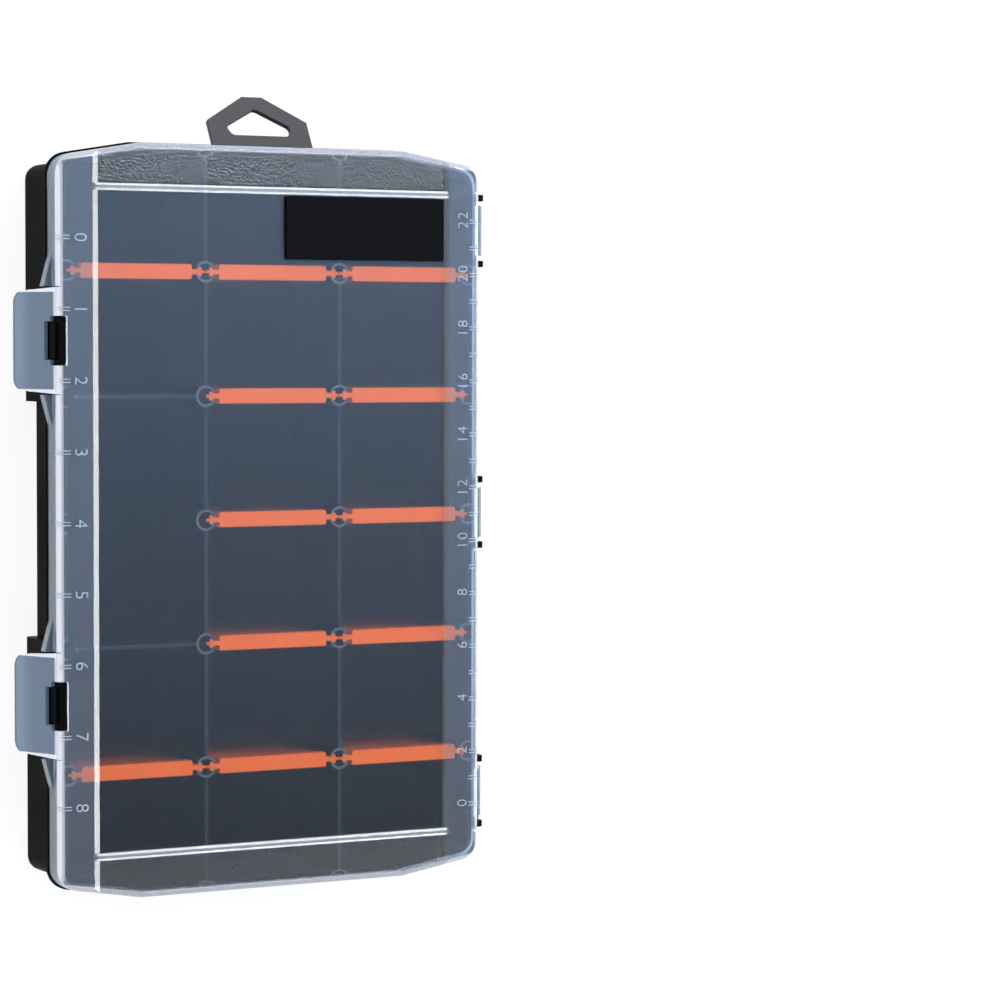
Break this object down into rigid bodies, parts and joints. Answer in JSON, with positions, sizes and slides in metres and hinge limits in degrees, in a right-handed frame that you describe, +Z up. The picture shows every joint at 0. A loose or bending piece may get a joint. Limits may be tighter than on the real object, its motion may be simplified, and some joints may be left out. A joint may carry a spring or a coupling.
{
  "type": "parts organizer box",
  "caption": "Flat parts organizer box: black compartment tray with lift-out orange dividers, hinged translucent lid with ruler edges, flap latches and a hang tab.",
  "frame": {"origin": "centre of the tray's underside, on the plane the closed box lies on", "axes": "+X to the hinge side, -X to the latch side, +Y to the hang tab end, +Z up through the lid"},
  "size_m": [0.1879, 0.2914, 0.041],
  "materials": {
    "black_polypropylene": "fine matt",
    "translucent_polypropylene": "milky, smooth",
    "grey_polypropylene": "fine matt",
    "orange_polypropylene": "satin",
    "black_label": "satin"
  },
  "bodies": {
    "base": {"base_tray": "black_polypropylene", "hang_tab": "grey_polypropylene", "hinge_pin_1": "black_polypropylene", "hinge_pin_2": "black_polypropylene", "hinge_pin_3": "black_polypropylene", "divider_row1_column1": "orange_polypropylene", "divider_row1_column2": "orange_polypropylene", "divider_row1_column3": "orange_polypropylene", "divider_row2_column2": "orange_polypropylene", "divider_row2_column3": "orange_polypropylene", "divider_row3_column2": "orange_polypropylene", "divider_row3_column3": "orange_polypropylene", "divider_row4_column2": "orange_polypropylene", "divider_row4_column3": "orange_polypropylene", "divider_row5_column1": "orange_polypropylene", "divider_row5_column2": "orange_polypropylene", "divider_row5_column3": "orange_polypropylene"},
    "lid": {"lid": "translucent_polypropylene", "label_plate": "black_label"},
    "latch_upper": {"latch_upper": "translucent_polypropylene"},
    "latch_lower": {"latch_lower": "translucent_polypropylene"}
  },
  "joints": [
    {"name": "lid_hinge", "type": "hinge", "parent": "base", "child": "lid", "pos_m": [0.0889, 0, 0.0262], "axis": [0, 1, 0], "range_deg": [0, 150]},
    {"name": "latch_upper_flex", "type": "hinge", "parent": "lid", "child": "latch_upper", "pos_m": [-0.0842, 0.065, 0.0386], "axis": [0, 1, 0], "range_deg": [0, 35], "stiffness_Nm_per_rad": 0.02},
    {"name": "latch_lower_flex", "type": "hinge", "parent": "lid", "child": "latch_lower", "pos_m": [-0.0842, -0.065, 0.0386], "axis": [0, 1, 0], "range_deg": [0, 35], "stiffness_Nm_per_rad": 0.02}
  ]
}
